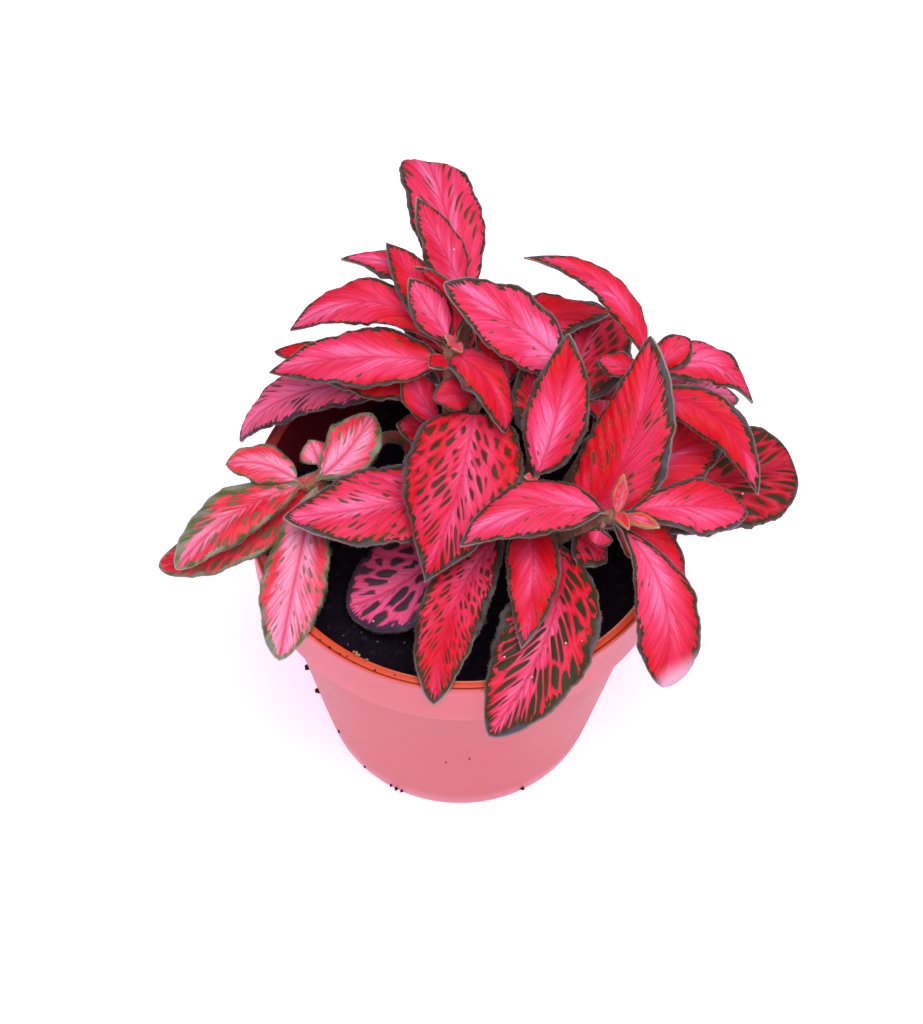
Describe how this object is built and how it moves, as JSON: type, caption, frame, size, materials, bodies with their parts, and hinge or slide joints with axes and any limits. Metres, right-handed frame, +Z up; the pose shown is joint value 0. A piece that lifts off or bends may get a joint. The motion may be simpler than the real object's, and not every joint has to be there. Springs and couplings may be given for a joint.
{
  "type": "potted nerve plant",
  "caption": "Small nerve plant with red netted leaves on branching stems, standing in soil in a tapered plastic nursery pot with a stepped collar.",
  "frame": {"origin": "centre of the pot's foot, on the surface it stands on", "axes": "+Z up along the pot's axis, -Y towards the side that the long front leaves hang over"},
  "size_m": [0.1324, 0.1132, 0.1294],
  "materials": {
    "pot_plastic": "satin terracotta-coloured polypropylene",
    "potting_soil": "damp dark peat with small crumbs",
    "leaf": "soft, finely haired leaf, red and pink with dark green netting"
  },
  "bodies": {
    "root": {"pot": "pot_plastic", "soil": "potting_soil", "shoot_front_right": "leaf", "shoot_left_tall": "leaf", "shoot_left_low": "leaf", "shoot_front": "leaf", "shoot_right": "leaf", "shoot_middle": "leaf", "shoot_back": "leaf", "shoot_centre": "leaf"}
  },
  "joints": []
}
